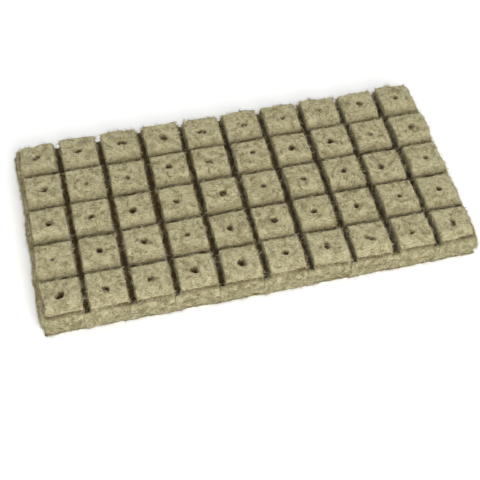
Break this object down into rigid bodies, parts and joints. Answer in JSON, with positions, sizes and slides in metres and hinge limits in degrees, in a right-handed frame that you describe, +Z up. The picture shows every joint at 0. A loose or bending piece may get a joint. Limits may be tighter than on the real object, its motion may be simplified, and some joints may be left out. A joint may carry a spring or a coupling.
{
  "type": "stone wool plug sheet",
  "caption": "Flexible sheet of square stone-wool starter plugs, sawn apart from above and joined at the foot, with one seed hole in each plug.",
  "frame": {"origin": "centre of the underside", "axes": "+X along the ten columns from column 1 to column 10, +Y from row 5 to row 1, +Z up through the plug tops"},
  "size_m": [0.5, 0.25, 0.04],
  "materials": {
    "stone_wool_plug": "matte",
    "stone_wool_web": "matte"
  },
  "bodies": {
    "strip_c1": {"plug_r1_c1": "stone_wool_plug", "plug_r2_c1": "stone_wool_plug", "plug_r3_c1": "stone_wool_plug", "plug_r4_c1": "stone_wool_plug", "plug_r5_c1": "stone_wool_plug"},
    "strip_c2": {"plug_r1_c2": "stone_wool_plug", "plug_r2_c2": "stone_wool_plug", "plug_r3_c2": "stone_wool_plug", "plug_r4_c2": "stone_wool_plug", "plug_r5_c2": "stone_wool_plug", "web_c1_c2": "stone_wool_web"},
    "strip_c3": {"plug_r1_c3": "stone_wool_plug", "plug_r2_c3": "stone_wool_plug", "plug_r3_c3": "stone_wool_plug", "plug_r4_c3": "stone_wool_plug", "plug_r5_c3": "stone_wool_plug", "web_c2_c3": "stone_wool_web"},
    "strip_c4": {"plug_r1_c4": "stone_wool_plug", "plug_r2_c4": "stone_wool_plug", "plug_r3_c4": "stone_wool_plug", "plug_r4_c4": "stone_wool_plug", "plug_r5_c4": "stone_wool_plug", "web_c3_c4": "stone_wool_web"},
    "strip_c5": {"plug_r1_c5": "stone_wool_plug", "plug_r2_c5": "stone_wool_plug", "plug_r3_c5": "stone_wool_plug", "plug_r4_c5": "stone_wool_plug", "plug_r5_c5": "stone_wool_plug", "web_c4_c5": "stone_wool_web", "web_c5_c6": "stone_wool_web"},
    "strip_c6": {"plug_r1_c6": "stone_wool_plug", "plug_r2_c6": "stone_wool_plug", "plug_r3_c6": "stone_wool_plug", "plug_r4_c6": "stone_wool_plug", "plug_r5_c6": "stone_wool_plug", "web_c6_c7": "stone_wool_web"},
    "strip_c7": {"plug_r1_c7": "stone_wool_plug", "plug_r2_c7": "stone_wool_plug", "plug_r3_c7": "stone_wool_plug", "plug_r4_c7": "stone_wool_plug", "plug_r5_c7": "stone_wool_plug", "web_c7_c8": "stone_wool_web"},
    "strip_c8": {"plug_r1_c8": "stone_wool_plug", "plug_r2_c8": "stone_wool_plug", "plug_r3_c8": "stone_wool_plug", "plug_r4_c8": "stone_wool_plug", "plug_r5_c8": "stone_wool_plug", "web_c8_c9": "stone_wool_web"},
    "strip_c9": {"plug_r1_c9": "stone_wool_plug", "plug_r2_c9": "stone_wool_plug", "plug_r3_c9": "stone_wool_plug", "plug_r4_c9": "stone_wool_plug", "plug_r5_c9": "stone_wool_plug", "web_c9_c10": "stone_wool_web"},
    "strip_c10": {"plug_r1_c10": "stone_wool_plug", "plug_r2_c10": "stone_wool_plug", "plug_r3_c10": "stone_wool_plug", "plug_r4_c10": "stone_wool_plug", "plug_r5_c10": "stone_wool_plug"}
  },
  "joints": [
    {"name": "kerf_c1_c2", "type": "hinge", "parent": "strip_c2", "child": "strip_c1", "pos_m": [-0.2, 0, 0.01], "axis": [0, -1, 0], "range_deg": [-6, 6], "stiffness_Nm_per_rad": 3, "deforming": ["web_c1_c2"]},
    {"name": "kerf_c2_c3", "type": "hinge", "parent": "strip_c3", "child": "strip_c2", "pos_m": [-0.15, 0, 0.01], "axis": [0, -1, 0], "range_deg": [-6, 6], "stiffness_Nm_per_rad": 3, "deforming": ["web_c2_c3"]},
    {"name": "kerf_c3_c4", "type": "hinge", "parent": "strip_c4", "child": "strip_c3", "pos_m": [-0.1, 0, 0.01], "axis": [0, -1, 0], "range_deg": [-6, 6], "stiffness_Nm_per_rad": 3, "deforming": ["web_c3_c4"]},
    {"name": "kerf_c4_c5", "type": "hinge", "parent": "strip_c5", "child": "strip_c4", "pos_m": [-0.05, 0, 0.01], "axis": [0, -1, 0], "range_deg": [-6, 6], "stiffness_Nm_per_rad": 3, "deforming": ["web_c4_c5"]},
    {"name": "kerf_c5_c6", "type": "hinge", "parent": "strip_c5", "child": "strip_c6", "pos_m": [0, 0, 0.01], "axis": [0, 1, 0], "range_deg": [-6, 6], "stiffness_Nm_per_rad": 3, "deforming": ["web_c5_c6"]},
    {"name": "kerf_c6_c7", "type": "hinge", "parent": "strip_c6", "child": "strip_c7", "pos_m": [0.05, 0, 0.01], "axis": [0, 1, 0], "range_deg": [-6, 6], "stiffness_Nm_per_rad": 3, "deforming": ["web_c6_c7"]},
    {"name": "kerf_c7_c8", "type": "hinge", "parent": "strip_c7", "child": "strip_c8", "pos_m": [0.1, 0, 0.01], "axis": [0, 1, 0], "range_deg": [-6, 6], "stiffness_Nm_per_rad": 3, "deforming": ["web_c7_c8"]},
    {"name": "kerf_c8_c9", "type": "hinge", "parent": "strip_c8", "child": "strip_c9", "pos_m": [0.15, 0, 0.01], "axis": [0, 1, 0], "range_deg": [-6, 6], "stiffness_Nm_per_rad": 3, "deforming": ["web_c8_c9"]},
    {"name": "kerf_c9_c10", "type": "hinge", "parent": "strip_c9", "child": "strip_c10", "pos_m": [0.2, 0, 0.01], "axis": [0, 1, 0], "range_deg": [-6, 6], "stiffness_Nm_per_rad": 3, "deforming": ["web_c9_c10"]}
  ]
}
